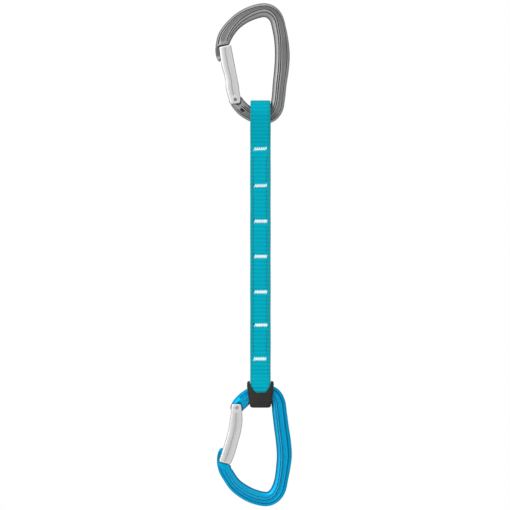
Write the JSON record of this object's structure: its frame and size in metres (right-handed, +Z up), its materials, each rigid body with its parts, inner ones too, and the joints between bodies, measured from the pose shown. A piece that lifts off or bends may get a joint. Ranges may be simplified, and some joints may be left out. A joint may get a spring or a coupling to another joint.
{
  "type": "climbing quickdraw",
  "caption": "Straight-gate carabiner and bent-gate carabiner joined by a sewn webbing sling, with a rubber keeper on the rope end.",
  "frame": {"origin": "the bolt seat: the top of the upper carabiner's opening, midway through its thickness", "axes": "+Z up along the hanging quickdraw, +X to the right when the gates face left, +Y away from the viewer through the thickness"},
  "size_m": [0.0644, 0.0204, 0.4226],
  "materials": {
    "anodised_grey": "satin grey anodised",
    "anodised_blue": "glossy blue anodised",
    "polished_silver": "polished",
    "steel": "brushed",
    "webbing": "woven nylon webbing",
    "seam_thread": "matte twisted thread",
    "tack_thread": "bonded white thread",
    "rubber": "matte moulded"
  },
  "bodies": {
    "upper_carabiner": {"upper_frame": "anodised_grey"},
    "upper_gate": {"upper_gate": "polished_silver", "upper_gate_rivet": "steel", "upper_gate_spring": "steel"},
    "upper_plunger": {"upper_gate_plunger": "steel"},
    "sling": {"sling_webbing": "webbing", "left_seam": "seam_thread", "right_seam": "seam_thread", "bar_tack_1": "tack_thread", "bar_tack_2": "tack_thread", "bar_tack_3": "tack_thread", "bar_tack_4": "tack_thread", "bar_tack_5": "tack_thread", "bar_tack_6": "tack_thread", "bar_tack_7": "tack_thread"},
    "lower_carabiner": {"lower_frame": "anodised_blue", "keeper": "rubber"},
    "lower_gate": {"lower_gate": "polished_silver", "lower_gate_rivet": "steel", "lower_gate_spring": "steel"},
    "lower_plunger": {"lower_gate_plunger": "steel"}
  },
  "joints": [
    {"name": "upper_gate_hinge", "type": "hinge", "parent": "upper_carabiner", "child": "upper_gate", "pos_m": [-0.0242, 0, -0.0693], "axis": [0, 1, 0], "range_deg": [0, 28], "stiffness_Nm_per_rad": 0.25, "springref_deg": -22.92},
    {"name": "upper_plunger_slide", "type": "slide", "parent": "upper_gate", "child": "upper_plunger", "axis": [-0.1908, 0, 0.9816], "range_m": [0, 0.0015], "deforming": ["upper_gate_spring"]},
    {"name": "sling_swing", "type": "hinge", "parent": "upper_carabiner", "child": "sling", "pos_m": [-0.003, 0, -0.08185], "axis": [1, 0, 0], "range_deg": [-75, 75]},
    {"name": "lower_carabiner_swing", "type": "hinge", "parent": "sling", "child": "lower_carabiner", "pos_m": [-0.003, 0, -0.297], "axis": [1, 0, 0], "range_deg": [-35, 35], "deforming": ["sling_webbing"]},
    {"name": "lower_gate_hinge", "type": "hinge", "parent": "lower_carabiner", "child": "lower_gate", "pos_m": [-0.0229, 0, -0.3278], "axis": [0, -1, 0], "range_deg": [0, 28], "stiffness_Nm_per_rad": 0.25, "springref_deg": -22.92},
    {"name": "lower_plunger_slide", "type": "slide", "parent": "lower_gate", "child": "lower_plunger", "axis": [-0.0698, 0, -0.9976], "range_m": [0, 0.0015], "deforming": ["lower_gate_spring"]}
  ],
  "couplings": [
    {"joint": "upper_plunger_slide", "follows": "upper_gate_hinge", "m_per_rad": 0.00287},
    {"joint": "lower_plunger_slide", "follows": "lower_gate_hinge", "m_per_rad": 0.00287}
  ]
}
